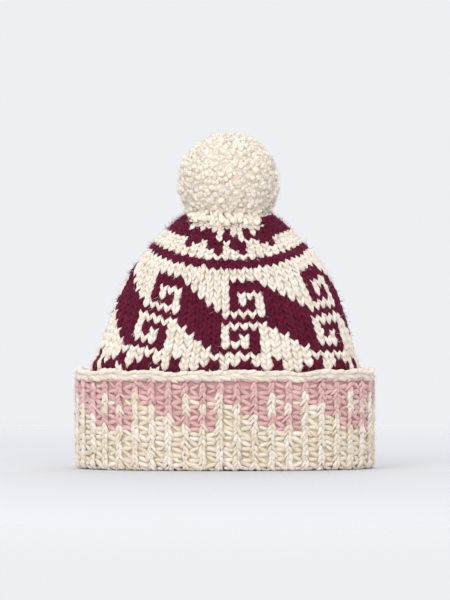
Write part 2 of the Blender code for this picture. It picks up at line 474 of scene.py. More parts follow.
def fibre(bend):
    """One loose fibre, a three-sided spike along Z, bent."""
    bm = bmesh.new()
    made = bmesh.ops.create_cone(bm, cap_ends=True, segments=3, radius1=1.0, radius2=0.0,
                                 depth=1.0, matrix=Matrix.Translation((0, 0, 0.5)))
    bmesh.ops.remove_doubles(bm, verts=made["verts"], dist=1e-5)
    bmesh.ops.bisect_plane(bm, geom=bm.verts[:] + bm.edges[:] + bm.faces[:],
                           plane_co=(0, 0, 0.5), plane_no=(0, 0, 1))
    bm.verts.index_update()
    lay = [(v.co.z, v.co.x, v.co.y) for v in bm.verts]
    points = np.array([v.co for v in bm.verts])
    bow = bend * points[:, 2] ** 2
    faces = [[v.index for v in face.verts] for face in bm.faces]
    bm.free()
    return points, np.array(lay), faces, bow


class Skein:
    """Copies of strands gathered as arrays, then joined into one mesh."""

    def __init__(self, seed):
        self.dice = np.random.default_rng(seed)
        self.points, self.lays, self.shades, self.loops, self.sizes = [], [], [], [], []
        self.count = 0

    def add(self, template, origin, first, second, third, shade):
        """Stamps a template at each origin, its X, Y and Z along the three vectors there."""
        points, lay, faces = template[:3]
        copies = len(origin)
        if not copies:
            return
        x, y, z = (points[None, :, axis, None] for axis in range(3))
        placed = (origin[:, None] + x * first[:, None] + y * second[:, None] + z * third[:, None])
        self.points.append(placed.reshape(-1, 3))
        drift = np.zeros((copies, 1, 3))
        drift[:, 0, 0] = self.dice.uniform(0, 50, copies)
        self.lays.append((lay[None] + drift).reshape(-1, 3))
        self.shades.append(np.repeat(shade, len(points)))
        loops = np.concatenate(faces)
        shift = self.count + np.arange(copies) * len(points)
        self.loops.append((loops[None] + shift[:, None]).reshape(-1))
        self.sizes.append(np.tile([len(face) for face in faces], copies))
        self.count += copies * len(points)

    def scatter(self, hand, which, origin, first, second, third, shade):
        """Stamps at each origin the version of a strand that chance has picked for it."""
        for version, template in enumerate(hand):
            some = which == version
            self.add(template, origin[some], first[some], second[some], third[some], shade[some])

    def piece(self, name, material, slot, *nodes):
        """One mesh object of all that was added."""
        points = np.concatenate(self.points).astype(np.float32)
        points[:, 2] = np.maximum(points[:, 2], FLOOR_GAP)
        loops = np.concatenate(self.loops).astype(np.int32)
        sizes = np.concatenate(self.sizes).astype(np.int32)
        mesh = bpy.data.meshes.new(name)
        mesh.vertices.add(len(points))
        mesh.vertices.foreach_set("co", points.ravel())
        mesh.loops.add(len(loops))
        mesh.loops.foreach_set("vertex_index", loops)
        mesh.polygons.add(len(sizes))
        starts = np.concatenate(([0], np.cumsum(sizes)[:-1])).astype(np.int32)
        mesh.polygons.foreach_set("loop_start", starts)
        lay = mesh.attributes.new("lay", "FLOAT_VECTOR", "POINT")
        lay.data.foreach_set("vector", np.concatenate(self.lays).astype(np.float32).ravel())
        shade = mesh.attributes.new("shade", "FLOAT", "POINT")
        shade.data.foreach_set("value", np.concatenate(self.shades).astype(np.float32))
        mesh.update(calc_edges=True)
        mesh.validate()
        show(name, mesh, material, slot, *nodes)


def show(name, mesh, material, slot, *nodes):
    """A finished piece in the scene, on the hat's one body, standing in for its CAD nodes."""
    mesh.shade_smooth()
    mesh.materials.append(material)
    item = bpy.data.objects.new(name, mesh)
    bpy.context.scene.collection.objects.link(item)
    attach(item, "root")
    if nodes:
        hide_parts(*nodes)


SAME_SPOT = 2e-5          # points nearer than this are one


# Pieces made here keep shade at zero, which puts their wool near its darker colour: painted shade
# in the gaps between the strands.
def show_bm(name, bm, material, slot, node):
    """A piece shaped with bmesh, with the attributes that its wool reads left at zero."""
    mesh = bpy.data.meshes.new(name)
    bm.to_mesh(mesh)
    bm.free()
    mesh.attributes.new("shade", "FLOAT", "POINT")
    mesh.attributes.new("lay", "FLOAT_VECTOR", "POINT")
    show(name, mesh, material, slot, node)


def knitted_sheet(stitches, rows, marked, settle):
    """A sheet of fabric once round the hat. From a turn and a share of the rows, marked says
    whether a face has the second colour, and settle where the corners lie."""
    bm = bmesh.new()
    bmesh.ops.create_grid(bm, x_segments=stitches, y_segments=rows, size=0.5)
    pattern = bm.faces.layers.float.new("pattern")
    for face in bm.faces:
        place = face.calc_center_median()
        face[pattern] = float(marked(place.x + 0.5, place.y + 0.5))
    grid = np.array([v.co for v in bm.verts]) + 0.5
    for vert, spot in zip(bm.verts, settle(grid[:, 0], grid[:, 1])):
        vert.co = spot
    bmesh.ops.remove_doubles(bm, verts=bm.verts, dist=SAME_SPOT)
    return bm


def thicken(bm, wall):
    """Makes a sheet into a closed wall, all its faces outward."""
    bmesh.ops.recalc_face_normals(bm, faces=bm.faces)
    bmesh.ops.solidify(bm, geom=bm.faces[:], thickness=wall)
    bmesh.ops.recalc_face_normals(bm, faces=bm.faces)


def unit(vectors):
    return vectors / np.linalg.norm(vectors, axis=-1, keepdims=True)


def stitch_frames(point, turn, row, count):
    """Each stitch's place, its width and its height as vectors, and the way out of the fabric."""
    side, rise = 0.2 / count, 0.2
    width = (point(turn + side, row) - point(turn - side, row)) / (2 * side * count)
    height = (point(turn, row + rise) - point(turn, row - rise)) / (2 * rise)
    return point(turn, row), width, height, unit(np.cross(width, height))


FIBRE_BEND = 0.35         # how far a loose fibre's end bends aside, as a share of its length


def strew_fibres(skein, origin, width, height, out, knit, share):
    """Loose fibres on a share of the stitches, mostly lying down, some standing off."""
    dice = skein.dice
    total = int(len(origin) * share)
    pick = dice.integers(0, len(origin), total)
    spread = dice.uniform(-0.5, 0.5, (total, 2, 1))
    root = origin[pick] + width[pick] * spread[:, 0] + height[pick] * spread[:, 1]
    lean = dice.normal(0, 1, (total, 3))
    way = unit(unit(lean) + out[pick] * dice.uniform(0.1, 1.0, (total, 1)))
    near_floor = root[:, 2] < knit.hair_length
    way[near_floor, 2] = np.abs(way[near_floor, 2])
    length = knit.hair_length * dice.uniform(0.3, 1.0, (total, 1))
    side = unit(np.cross(way, out[pick] + 0.01))
    other = np.cross(way, side)
    for bend in (-FIBRE_BEND, FIBRE_BEND):
        chosen = dice.random(total) < 0.5
        points, lay, faces, bow = fibre(bend)
        bent = points.copy()
        bent[:, 0] += bow * knit.hair_length / knit.hair_half / 2
        skein.add((bent, lay, faces), root[chosen], side[chosen] * knit.hair_half,
                  other[chosen] * knit.hair_half, (way * length)[chosen],
                  dice.uniform(0.5, 1.0, int(chosen.sum())))


def chart_code(row, turn):
    """The yarn of the crown's chart at a row and at turns round the hat."""
    lower = FRET_ROWS + STRIPE_ROWS
    if row < 1:
        lower, row = [HEM_ROW], 1
    if row <= len(lower):
        rows, repeats, start = lower, FRET_REPEATS, FRET_START
    elif row <= len(lower) + len(ZIGZAG_ROWS):
        rows, repeats, start = ZIGZAG_ROWS, ZIGZAG_REPEATS, ZIGZAG_START
        row -= len(lower)
    else:
        return np.full(turn.shape, ".")
    codes = np.array(list(rows[row - 1]))
    column = np.floor(np.mod(turn, 1.0) * repeats * len(codes) - start + 1e-6).astype(int)
    return codes[column % len(codes)]


def crown_turns(row):
    """Middles of the stitches of one round, in line with the fretwork's columns."""
    count = [stitches for start, stitches in DECREASES if row >= start][-1]
    return (np.arange(count) + 0.5) / count + FRET_START / (FRET_REPEATS * len(FRET_ROWS[0]))


# Materials

def add_node(tree, kind, settings=None, **links):
    """A node with its settings and what its inputs are linked to, or their values. An input's
    name is written with _ for a space."""
    node = tree.nodes.new(kind)
    for name, value in (settings or {}).items():
        setattr(node, name, value)
    for name, value in links.items():
        key = int(name[1:]) if name[0] == "_" else name.replace("_", " ")
        if isinstance(value, bpy.types.NodeSocket):
            tree.links.new(value, node.inputs[key])
        else:
            node.inputs[key].default_value = value
    return node


FIBRE_MM = 0.35           # width of the streaks along a strand
MATTING = 1.6             # how much of the wine wool's colour follows its felted specks


def wool(name, light, shade, speckle=0.0, second=None):
    """Wool yarn, carded and loosely spun: matt, with fine fibres that lie along the strand and
    lighter and darker lengths, speckled where it is felted. A second yarn follows the fabric's
    pattern attribute."""
    material = bpy.data.materials.new(name)
    material.use_nodes = True
    tree = material.node_tree
    tree.nodes.clear()
    tone = add_node(tree, "ShaderNodeAttribute", {"attribute_name": "shade"})
    lay = add_node(tree, "ShaderNodeAttribute", {"attribute_name": "lay"})
    # a strand is about 10 mm long and 12 mm round, so these scales give streaks of FIBRE_MM
    streak = add_node(tree, "ShaderNodeMapping", Vector=lay.outputs["Vector"],
                      Scale=(1.6, 1.1 / FIBRE_MM, 1.1 / FIBRE_MM))
    place = add_node(tree, "ShaderNodeTexCoord")
    metres = add_node(tree, "ShaderNodeMapping", Vector=place.outputs["Object"])
    mix = tone.outputs["Fac"]
    noises = []
    # fibres along the strand, clouds of tone, and matted fibres about a millimetre apart
    for space, scale, detail, rough, weight in ((streak, 1.0, 4.0, 0.65, 0.9),
                                                (metres, 160.0, 3.0, 0.6, 0.5),
                                                (metres, 900.0, 3.0, 0.7, speckle)):
        noise = add_node(tree, "ShaderNodeTexNoise", Vector=space.outputs[0], Scale=scale,
                         Detail=detail, Roughness=rough)
        noises.append(noise.outputs["Fac"])
        mix = add_node(tree, "ShaderNodeMath", {"operation": "MULTIPLY_ADD"},
                       _0=noises[-1], _1=weight, _2=mix).outputs[0]
    range_ = add_node(tree, "ShaderNodeMapRange", Value=mix,
                      From_Min=0.62 + speckle / 2, From_Max=1.72 + speckle / 2)
    colours = add_node(tree, "ShaderNodeMix", {"data_type": "RGBA"}, _0=range_.outputs[0],
                       _6=(*shade, 1), _7=(*light, 1))
    base = colours.outputs[2]
    if second:
        pattern = add_node(tree, "ShaderNodeAttribute", {"attribute_name": "pattern"})
        other = add_node(tree, "ShaderNodeMix", {"data_type": "RGBA"},
                         _0=pattern.outputs["Fac"], _6=base, _7=(*second, 1))
        base = other.outputs[2]
    relief = add_node(tree, "ShaderNodeMath", {"operation": "ADD"}, _0=noises[0], _1=noises[2])
    bump = add_node(tree, "ShaderNodeBump", Height=relief.outputs[0], Strength=0.6,
                    Distance=0.0007)
    surface = add_node(tree, "ShaderNodeBsdfPrincipled", Base_Color=base, Roughness=0.95,
                       Sheen_Weight=0.35, Sheen_Roughness=0.5, Sheen_Tint=(*light, 1),
                       Specular_IOR_Level=0.12, Subsurface_Weight=0.35,
                       Subsurface_Radius=(1.0, 0.9, 0.8), Subsurface_Scale=0.003,
                       Normal=bump.outputs[0])
    out = add_node(tree, "ShaderNodeOutputMaterial")
    tree.links.new(surface.outputs[0], out.inputs["Surface"])
    return material


def yarn(scene, name):
    """The material of one yarn, made once."""
    yarns = scene.hat_yarns
    title = {"cream": "cream_wool_yarn", "wine": "wine_wool_yarn", "rose": "rose_wool_yarn",
             "oat": "oatmeal_wool_yarn", "tuft": "cut_wool_pompom"}[name]
    if title in bpy.data.materials:
        return bpy.data.materials[title]
    return wool(title, getattr(yarns, name), getattr(yarns, name + "_shade"),
                speckle=MATTING if name == "wine" else 0.0)


# Pieces

def knit_legs(skein, hands, place, across, up, thick, slant, shade, spreads):
    """Both legs of some knit stitches. spreads says how much size, height, slant and tone vary."""
    dice, total = skein.dice, len(place)
    for hand in hands:
        which = dice.integers(0, len(hand), total)
        size = dice.normal(1.0, spreads[0], (total, 1))
        nudge = up * dice.normal(0, spreads[1], (total, 1))
        tip = slant * dice.normal(0, spreads[2], (total, 1))
        tone = shade + dice.normal(0, spreads[3], total)
        skein.scatter(hand, which, place + nudge, across * size, up * size + tip, thick * size,
                      tone)


class HAT_OT_crown(bpy.types.Operator):
    """Knit the outside of the crown, a leg at a time, in cream and wine"""
    bl_idname = "hat.crown"
    bl_label = "Crown stitches"
    SEED = 11
    FULL_STITCH = 0.0073      # the width of a stitch that has the yarn's full thickness
    THINNEST, THICKEST = 0.7, 1.1
    SHADE, SHADE_SPREAD = 0.5, 0.2
    SPREADS = np.array([0.10, 0.10, 0.09, 0.14])
    FIBRES = 3.2              # loose fibres on each stitch
    # Wine wool is matted: flatter, broader and more even than the thick and thin cream
    FLAT = {".": 0.86, "w": 0.72}
    BROAD = {".": 1.02, "w": 1.12}
    UNEVEN = {".": 1.0, "w": 0.5}

    def execute(self, context):
        scene, knit = context.scene, context.scene.hat_knit
        fabric = CrownKnit(CrownForm(), knit)
        skeins = {code: Skein(self.SEED + step) for step, code in enumerate(".w")}
        fuzz = {code: Skein(self.SEED + 2 + step) for step, code in enumerate(".w")}
        hands = variants(leg, 6, 6, self.SEED)
        for row in range(1 - HIDDEN_ROWS, LAST_ROW + 2):
            turns = crown_turns(row)
            codes = chart_code(row, turns)
            frames = stitch_frames(fabric.point, turns, row, len(turns))
            for code, skein in skeins.items():
                mine = codes == code
                if not mine.any():
                    continue
                origin, width, height, out = (vectors[mine] for vectors in frames)
                wide = np.linalg.norm(width, axis=-1, keepdims=True) / self.FULL_STITCH
                thick = knit.yarn_half * np.clip(wide, self.THINNEST, self.THICKEST)
                shade = skein.dice.normal(self.SHADE, self.SHADE_SPREAD * self.UNEVEN[code],
                                          len(origin))
                knit_legs(skein, hands, origin - out * knit.yarn_lift, width * self.BROAD[code],
                          height, out * thick * self.FLAT[code], width, shade,
                          self.SPREADS * self.UNEVEN[code])
                strew_fibres(fuzz[code], origin, width, height, out, knit, self.FIBRES)
        for code, name in ((".", "cream"), ("w", "wine")):
            skeins[code].piece("crown_stitches_" + name, yarn(scene, name), "patterned_wool",
                               "crown")
            fuzz[code].piece("crown_fibres_" + name, yarn(scene, name), "patterned_wool")
        return {"FINISHED"}


class HAT_OT_crown_inside(bpy.types.Operator):
    """Make the crown's fabric behind the stitches, and the purl side that shows inside"""
    bl_idname = "hat.crown_inside"
    bl_label = "Crown inside"
    SEED = 21
    OUTER_DEPTH = 0.0027      # of the fabric behind the stitches, below the solid's skin
    WALL = 0.0022
    INNER_DEPTH = 0.0058      # of the purl bumps
    ROW_SHIFT = 0.8           # what brings the fabric's colours level with the stitches
    ROW_ENDS = (-1.8, 37.5)
    TOP_REACH = 0.02          # rims no deeper than this below the top belong to its opening
    BROAD = 1.05              # width of a purl bump
    SHADE, SHADE_SPREAD = 0.4, 0.15
    GATHER_STEP = 0.3         # height of a gathered row, as a share of the way out
    LEAST_REACH = 0.2         # the innermost bumps are as wide as if they lay this far out
    GATHERS = ((0.92, 14), (0.62, 10), (0.32, 6), (0.06, 3))    # share of the way out, bumps

    def execute(self, context):
        scene, knit = context.scene, context.scene.hat_knit
        form = CrownForm()
        fabric = CrownKnit(form, knit)
        rows = LAST_ROW + 2 + HIDDEN_ROWS
        shift = FRET_START / CROWN_STITCHES

        def wine(turn, share):
            row = int(round(share * rows + 0.5)) - HIDDEN_ROWS
            return chart_code(row, np.array([turn + shift]))[0] == "w"

        def settle(turn, share):
            row = np.clip(share * rows - HIDDEN_ROWS + self.ROW_SHIFT, *self.ROW_ENDS)
            place, _, _, out = stitch_frames(fabric.point, turn + shift, row, CROWN_STITCHES)
            return place - out * self.OUTER_DEPTH

        bm = knitted_sheet(CROWN_STITCHES, rows, wine, settle)
        rims = [edge for edge in bm.edges if edge.is_boundary]
        top = [edge for edge in rims if edge.verts[0].co.z > form.high - self.TOP_REACH]
        bmesh.ops.holes_fill(bm, edges=top)
        thicken(bm, self.WALL)
        # The fabric behind the stitches, its shade left at zero, is near the oatmeal's darker
        # colour and, under the wine stitches, the wine's darker colour: painted shade in the gaps
        # between the stitches.
        yarns = scene.hat_yarns
        ground = wool("knitted_ground_painted_shade", yarns.cream_shade, yarns.oat_shade,
                      second=yarns.wine_shade)
        show_bm("crown_fabric", bm, ground, "patterned_wool", "crown")

        def inside(turn, row):
            place, _, _, out = stitch_frames(fabric.point, turn, row, CROWN_STITCHES)
            return place - out * self.INNER_DEPTH

        skeins = {".": Skein(self.SEED), "w": Skein(self.SEED + 1)}
        templates = [purl(slant, 5, 5) for slant in (-1, 1)]
        for row in range(1 - HIDDEN_ROWS, LAST_ROW):
            turns = crown_turns(row)
            codes = chart_code(row, turns)
            origin, width, height, out = stitch_frames(inside, turns, row, len(turns))
            for code, skein in skeins.items():
                for half, template in enumerate(templates):
                    mine = (codes == code) & ((np.arange(len(turns)) + row) % 2 == half)
                    shade = skein.dice.normal(self.SHADE, self.SHADE_SPREAD, int(mine.sum()))
                    skein.add(template, origin[mine], -width[mine] * self.BROAD, height[mine],
                              -out[mine] * knit.yarn_half, shade)
        # the middle of the top, gathered in rounds that close to a point
        reach = np.array([form.wide[-1], form.deep[-1], 0.0])
        middle = np.array([form.middle[-1], 0.0, form.high - self.INNER_DEPTH])
        for share, count in self.GATHERS:
            angle = tau * (np.arange(count) + share) / count
            flat = np.zeros(count)
            spoke = np.stack([np.cos(angle), np.sin(angle), flat], axis=-1) * reach
            around = np.stack([np.sin(angle), -np.cos(angle), flat], axis=-1) * reach
            down = np.tile((0.0, 0.0, -knit.yarn_half), (count, 1))
            skeins["."].add(templates[count // 2 % 2], middle + spoke * share,
                            around * max(share, self.LEAST_REACH) * tau / count,
                            -spoke * self.GATHER_STEP, down,
                            skeins["."].dice.normal(self.SHADE, self.SHADE_SPREAD, count))
        skeins["."].piece("crown_inside_cream", yarn(scene, "cream"), "patterned_wool", "crown")
        skeins["w"].piece("crown_inside_wine", yarn(scene, "wine"), "patterned_wool", "crown")
        return {"FINISHED"}


class HAT_OT_cuff(bpy.types.Operator):
    """Knit the folded rib cuff: knit columns of legs and purl columns of bumps"""
    bl_idname = "hat.cuff"
    bl_label = "Rib cuff"
    SEED = 31
    FUZZ_SEED = 36
    BROAD = 1.2               # width of a purl bump
    FLAT = 0.86               # strands pressed together in the fold
    OAT_KNIT, OAT_PURL = 0.45, 0.7         # share of the cream stitches that are oatmeal
    KNIT_SHADE, KNIT_SHADE_SPREAD = 0.55, 0.17
    KNIT_SPREADS = (0.13, 0.17, 0.13, 0.12)
    PURL_SHADE, PURL_SHADE_SPREAD = 0.42, 0.19
    PURL_SPREAD, PURL_TIP_SPREAD = 0.12, 0.32
    FIBRES = 3.5
    GROUND_DEPTH = 0.0018
    GROUND_SHORT = 0.1        # rows by which the fabric stops before the path does
    WALL = 0.0022

    def execute(self, context):
        scene, knit = context.scene, context.scene.hat_knit
        cuff = CuffKnit(CrownForm(), knit)
        skeins = {code: Skein(self.SEED + step) for step, code in enumerate(".ro")}
        fuzz = {code: Skein(self.FUZZ_SEED + step) for step, code in enumerate(".ro")}
        fine, coarse = ([variants(make, sides, sides, self.SEED) for make in (leg, purl)]
                        for sides in (6, 5))
        columns = np.arange(CUFF_STITCHES)
        turns = (columns + 0.5 + CUFF_START % 1) / CUFF_STITCHES
        knitted = (columns + int(CUFF_START)) % 2 == 0
        for row in range(cuff.rows):
            legs, bumps = fine if row <= cuff.outer_rows + 1 else coarse
            if row < len(CUFF_ROWS):
                codes = np.array(list(CUFF_ROWS[row]))
                codes = codes[(columns - int(CUFF_START)) % len(codes)]
            else:
                codes = np.full(CUFF_STITCHES, ".")
            origin, width, height, out = stitch_frames(cuff.point, turns, row, CUFF_STITCHES)
            out = -out
            thick = out * knit.yarn_half * self.FLAT
            chance = skeins["."].dice.random(CUFF_STITCHES)
            oat = (codes == ".") & (chance < np.where(knitted, self.OAT_KNIT, self.OAT_PURL))
            codes = np.where(oat, "o", codes)
            for code, skein in skeins.items():
                dice = skein.dice
                mine = knitted & (codes == code)
                shade = dice.normal(self.KNIT_SHADE, self.KNIT_SHADE_SPREAD, int(mine.sum()))
                knit_legs(skein, legs, origin[mine], -width[mine], height[mine], thick[mine],
                          width[mine], shade, self.KNIT_SPREADS)
                for half, hand in enumerate(bumps):
                    mine = ~knitted & (codes == code) & ((columns // 2 + row) % 2 == half)
                    total = int(mine.sum())
                    which = dice.integers(0, len(hand), total)
                    size = dice.normal(1.0, self.PURL_SPREAD, (total, 1))
                    sunk = origin[mine] - out[mine] * knit.purl_depth
                    sunk = sunk + height[mine] * dice.normal(0, self.PURL_SPREAD, (total, 1))
                    tip = height[mine] * dice.normal(0, self.PURL_TIP_SPREAD, (total, 1))
                    tone = dice.normal(self.PURL_SHADE, self.PURL_SHADE_SPREAD, total)
                    skein.scatter(hand, which, sunk, -width[mine] * self.BROAD * size + tip,
                                  height[mine] * size, thick[mine], tone)
                mine = codes == code
                if row <= cuff.outer_rows and mine.any():
                    strew_fibres(fuzz[code], origin[mine], width[mine], height[mine], out[mine],
                                 knit, self.FIBRES)
        for code, name in ((".", "cream"), ("r", "rose"), ("o", "oat")):
            skeins[code].piece("cuff_stitches_" + name, yarn(scene, name), "ribbed_wool", "cuff")
            fuzz[code].piece("cuff_fibres_" + name, yarn(scene, name), "ribbed_wool")
        self.ground(scene, cuff)
        return {"FINISHED"}

    def ground(self, scene, cuff):
        """The folded fabric behind the stitches, one closed wall."""
        def rose(turn, share):
            row, column = int(share * cuff.rows), int(turn * CUFF_STITCHES) - int(CUFF_START)
            return row < len(CUFF_ROWS) and CUFF_ROWS[row][column % len(CUFF_ROWS[row])] == "r"

        def settle(turn, share):
            row = share * (cuff.run[-1] / cuff.row - self.GROUND_SHORT)
            turn = turn + (CUFF_START % 1) / CUFF_STITCHES
            place, _, _, out = stitch_frames(cuff.point, turn, row, CUFF_STITCHES)
            return place + out * self.GROUND_DEPTH

        bm = knitted_sheet(CUFF_STITCHES, 2 * cuff.rows, rose, settle)
        thicken(bm, self.WALL)
        # The fabric behind the stitches, its shade left at zero, is near the oatmeal's darker
        # colour and, under the rose stitches, the rose's darker colour: painted shade in the gaps
        # between the stitches.
        yarns = scene.hat_yarns
        ground = wool("rib_ground_painted_shade", yarns.oat, yarns.oat_shade, second=yarns.rose_shade)
        show_bm("cuff_fabric", bm, ground, "ribbed_wool", "cuff")


class HAT_OT_edge(bpy.types.Operator):
    """Cast off the cuff with a fat cream chain along its top"""
    bl_idname = "hat.edge"
    bl_label = "Cast-off edge"
    SEED = 41
    WAVE = 0.0006             # how far the edge rises and falls on its way round
    DEPTH = 0.75              # half a strand's depth, as a share of the edge's half height
    PRESSED = 0.95            # what is left of a strand's depth in the chain
    SIZE_SPREAD, TIP_SPREAD, TONE_SPREAD = 0.09, 0.25, 0.20
    FIBRES = 4.0
    # The chain's two front strands, one over the other, and the back one over the gap
    STRANDS = [
        # inset in half depths, drop and half height in half heights of the edge, hand
        (1.05, 0.62, 0.62, 1),
        (0.90, 1.42, 0.60, 0),
        (2.15, 1.05, 0.85, 1),
    ]

    def execute(self, context):
        scene, knit = context.scene, context.scene.hat_knit
        form = CrownForm()
        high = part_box("cuff")[1]
        half = knit.edge_half
        deep = half * self.DEPTH
        skein = Skein(self.SEED)
        dice = skein.dice
        hands = variants(chain, 7, 8, self.SEED)
        turns = (np.arange(CUFF_STITCHES) + 0.5) / CUFF_STITCHES
        wave = self.WAVE * (np.sin(tau * turns * 7 + 1) + np.sin(tau * turns * 17))
        for inset, drop, tall, side in self.STRANDS:
            hand, tall = hands[side], half * tall

            def point(turn, row):
                across, along = form.oval(turn, high.x, high.y)
                lift = high.z - half * drop + np.interp(np.mod(turn, 1), turns, wave)
                return np.stack([across * (high.x - deep * inset),
                                 along * (high.y - deep * inset), lift + row], axis=-1)

            origin, width, _, _ = stitch_frames(point, turns, 0.0, CUFF_STITCHES)
            up = np.tile((0.0, 0.0, 1.0), (CUFF_STITCHES, 1))
            out = unit(np.cross(width, up))
            size = dice.normal(1.0, self.SIZE_SPREAD, (CUFF_STITCHES, 1))
            tip = up * tall * dice.normal(0.0, self.TIP_SPREAD, (CUFF_STITCHES, 1))
            which = dice.integers(0, len(hand), CUFF_STITCHES)
            # Tones centred at zero keep the chain near the cream's darker colour, so that its top,
            # which the lamps above light strongly, comes out less bright: painted shade.
            tone = dice.normal(0.0, self.TONE_SPREAD, CUFF_STITCHES)
            skein.scatter(hand, which, origin, width * size + tip, up * tall * size,
                          out * deep * self.PRESSED * size, tone)
            strew_fibres(skein, origin, width, up * half, out, knit, self.FIBRES)
        skein.piece("cuff_cast_off_edge", yarn(scene, "cream"), "ribbed_wool", "cuff")
        return {"FINISHED"}


class HAT_OT_pompom(bpy.types.Operator):
    """Tie the pompom: cut strands all round a core, with loose fibres at their ends"""
    bl_idname = "hat.pompom"
    bl_label = "Pompom"
    SEED = 51
    STRANDS = 1900
    CURLS = 70
    DRAPED = 260
    FIBRES = 12000
    BEND, CURL_BEND, DRAPED_BEND = 0.9, 1.0, 0.8
    CURL_EASE = 0.8
    STRAND_HALF = 0.0033
    CURL_RUN = 0.008
    DRAPED_LENGTH = 1.3       # in lengths of the other strands
    SHADE, SHADE_SPREAD, CURL_SPREAD = 0.6, 0.12, 0.2
    LEAN, DRAPED_LEAN = 0.22, 0.25
    # Shares of the ball's radius, or of the strands' half thickness, between which chance picks
    TIPS, TIP_HALVES = (0.980, 0.998), (0.75, 1.2)
    CURLS_AT, CURL_SIZES = (0.86, 0.915), (0.7, 1.1)
    DRAPED_HALVES = (0.75, 1.1)
    DRAPED_ROWS = (27.5, 35.5)
    DRAPED_LIFTS = (0.0005, 0.0030)
    FUZZ_AT, FUZZ_CLEAR = 0.96, 0.93
    SCATTER = 0.03            # how far chance moves the strands on the ball
    MARGIN, CURL_MARGIN = 0.001, 0.002     # how near the crown no strand and no curl begins
    CORE_SHARE = 0.962
    CORE_SUNK = 0.0038        # how far the core goes into the top's fabric, and not through it

    def execute(self, context):
        scene, knit = context.scene, context.scene.hat_knit
        form = CrownForm()
        low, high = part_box("pompom")
        radius = (high.x - low.x) / 2
        centre = np.array([(low.x + high.x) / 2, 0.0, high.z - radius])
        skein = Skein(self.SEED)
        dice = skein.dice
        length = knit.strand_length

        def ball(total):
            """Ways out all over the ball, in an even spiral with a little chance."""
            step = np.arange(total) + 0.5
            up = 1 - 2 * step / total
            angle = pi * (3 - sqrt(5)) * step
            level = np.sqrt(1 - up * up)
            way = np.stack([level * np.cos(angle), level * np.sin(angle), up], axis=-1)
            return unit(way + dice.normal(0, self.SCATTER, (total, 3)))

        def across(way):
            side = unit(np.cross(way, dice.normal(0, 1, way.shape)))
            return side, np.cross(way, side)

        def stamp(template, keep, start, side, other, run, spread):
            skein.add(template, start[keep], side[keep], other[keep], run[keep],
                      dice.normal(self.SHADE, spread, int(keep.sum())))

        for bend in (-self.BEND, self.BEND):
            way = ball(self.STRANDS // 2)
            tip = centre + way * radius * dice.uniform(*self.TIPS, (len(way), 1))
            lean = unit(way + self.LEAN * dice.normal(0, 1, way.shape))
            keep = ~form.holds(tip, self.MARGIN)
            side, other = across(lean)
            half = self.STRAND_HALF * dice.uniform(*self.TIP_HALVES, (len(way), 1))
            stamp(tuft(bend, 6, 5), keep, tip - lean * length, side * half, other * half,
                  lean * length, self.SHADE_SPREAD)
        self.drape(skein, CrownKnit(form, knit), centre, length)
        way = ball(self.CURLS)
        side, other = across(way)
        middle = centre + way * radius * dice.uniform(*self.CURLS_AT, (len(way), 1))
        keep = ~form.holds(middle, self.CURL_MARGIN)
        half = self.STRAND_HALF * dice.uniform(*self.CURL_SIZES, (len(way), 1))
        run = self.CURL_RUN * dice.uniform(*self.CURL_SIZES, (len(way), 1))
        stamp(tuft(self.CURL_BEND, 6, 6, self.CURL_EASE), keep, middle - side * run / 2,
              way * half, other * half, side * run, self.CURL_SPREAD)
        way = ball(self.FIBRES)
        way = way[~form.holds(centre + way * radius * self.FUZZ_CLEAR, self.MARGIN)]
        none = np.zeros_like(way)
        fuzz = Skein(self.SEED + 1)
        strew_fibres(fuzz, centre + way * radius * self.FUZZ_AT, none, none, way, knit, 1.0)
        skein.piece("pompom_strands", yarn(scene, "tuft"), "pompom_wool", "pompom")
        fuzz.piece("pompom_fibres", yarn(scene, "tuft"), "pompom_wool")

        # The core under the strands, its shade left at zero, is near the pompom wool's darker
        # colour: painted shade in the gaps between the cut ends.
        bm = bmesh.new()
        bmesh.ops.create_icosphere(bm, subdivisions=4, radius=radius * self.CORE_SHARE,
                                   matrix=Matrix.Translation(centre))
        for vert in bm.verts:
            vert.co.z = max(vert.co.z, form.high - self.CORE_SUNK)
        show_bm("pompom_core", bm, yarn(scene, "tuft"), "pompom_wool", "pompom")
        return {"FINISHED"}

    def drape(self, skein, fabric, centre, length):
        """The lowest strands, which lie down over the cream rounds of the gathered top."""
        dice = skein.dice
        turn = dice.uniform(0, 1, self.DRAPED)
        row = dice.uniform(*self.DRAPED_ROWS, self.DRAPED)
        cream = np.array([chart_code(int(r), np.array([t]))[0] == "."
                          for r, t in zip(row, turn)])
        turn, row = turn[cream], row[cream]
        skin = np.stack([fabric.point(np.array([t]), r)[0] for t, r in zip(turn, row)])
        outward = unit((skin - centre) * (1, 1, 0.2))
        tip = skin + outward * dice.uniform(*self.DRAPED_LIFTS, (len(row), 1))
        lean = unit(unit(tip - centre) + self.DRAPED_LEAN * dice.normal(0, 1, tip.shape))
        side = unit(np.cross(lean, dice.normal(0, 1, lean.shape)))
        half = self.STRAND_HALF * dice.uniform(*self.DRAPED_HALVES, (len(row), 1))
        run = lean * length * self.DRAPED_LENGTH
        skein.add(tuft(self.DRAPED_BEND, 6, 6), tip - run, side * half,
                  np.cross(lean, side) * half, run,
                  dice.normal(self.SHADE, self.SHADE_SPREAD, len(row)))


